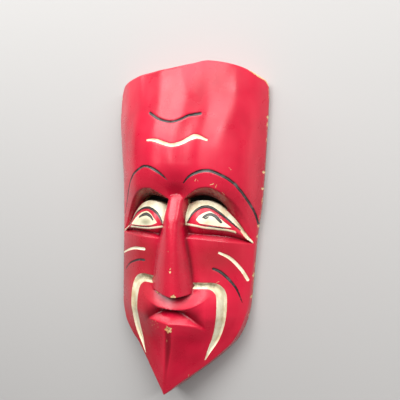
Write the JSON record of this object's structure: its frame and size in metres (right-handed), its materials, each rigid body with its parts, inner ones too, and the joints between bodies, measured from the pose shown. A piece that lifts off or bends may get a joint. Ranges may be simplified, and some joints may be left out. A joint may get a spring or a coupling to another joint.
{
  "type": "carved wooden face mask",
  "caption": "Long carved wooden face mask with a pointed chin, a high vaulted forehead, eye slits over carved eyes, a long nose, scooped moustache grooves and a gouged hollow back.",
  "frame": {"origin": "centre of the flat rim that the mask lies on, under the middle of its box", "axes": "+Z out of the face, square to the flat rim; +Y up the face from the chin to the forehead; +X across the face, to the wearer's left"},
  "size_m": [0.1754, 0.3654, 0.0696],
  "materials": {
    "painted_wood": "glossy red paint on carved wood, with cream and black painted lines, worn to bare wood on the edges; bare brown wood inside the hollow"
  },
  "bodies": {
    "root": {"mask": "painted_wood"}
  },
  "joints": []
}
